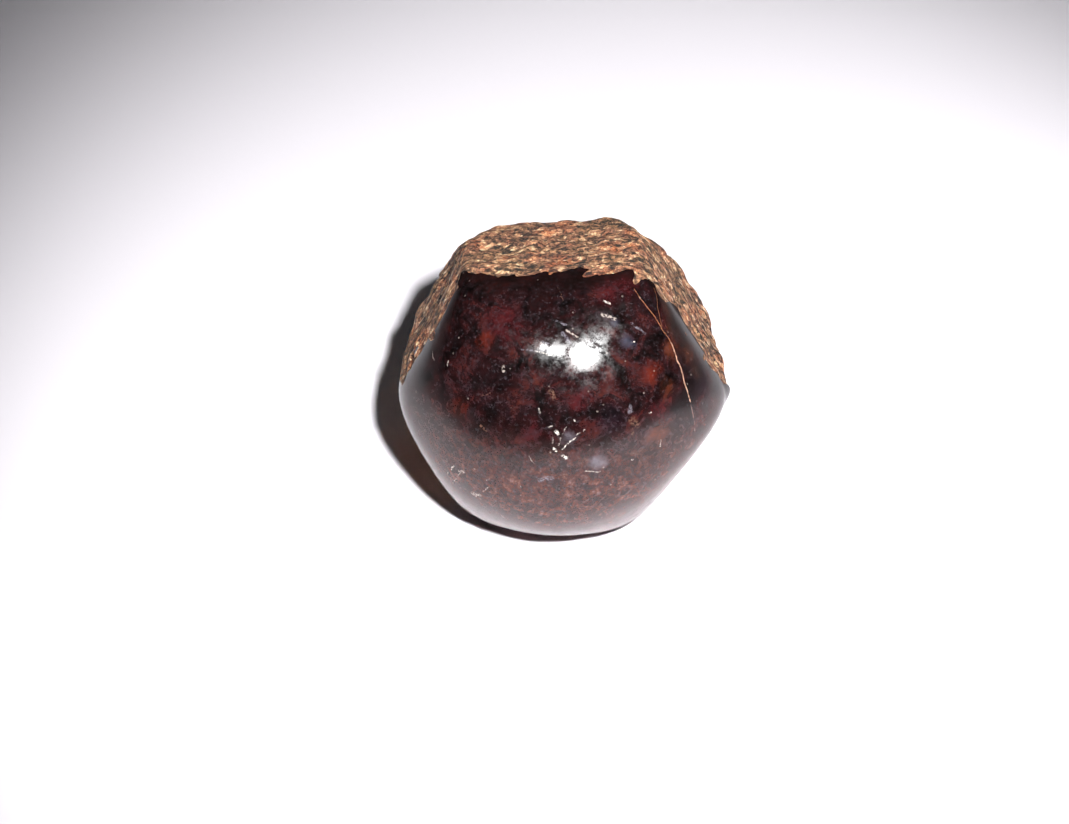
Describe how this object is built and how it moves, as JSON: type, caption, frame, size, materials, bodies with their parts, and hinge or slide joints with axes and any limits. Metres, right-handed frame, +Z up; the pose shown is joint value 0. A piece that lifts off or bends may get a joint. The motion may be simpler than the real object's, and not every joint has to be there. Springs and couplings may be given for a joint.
{
  "type": "star ruby crystal",
  "caption": "Stubby hexagonal ruby crystal lying on a prism face, one end ground to a smooth polished dome, rough natural skin behind it and a stepped broken end.",
  "frame": {"origin": "on the ground under the middle of the stone's bounding box, with the stone at rest on its worn lowest prism face", "axes": "+Z up, -Y towards the polished dome, whose tip is raised about ten degrees, and +X across the stone to the right as seen from the dome's side"},
  "size_m": [0.0362, 0.0322, 0.0327],
  "materials": {
    "ruby": "dark maroon corundum, polished on the dome, rough pinkish-brown natural skin on the prism faces and the broken end"
  },
  "bodies": {
    "root": {"star_ruby_crystal": "ruby"}
  },
  "joints": []
}
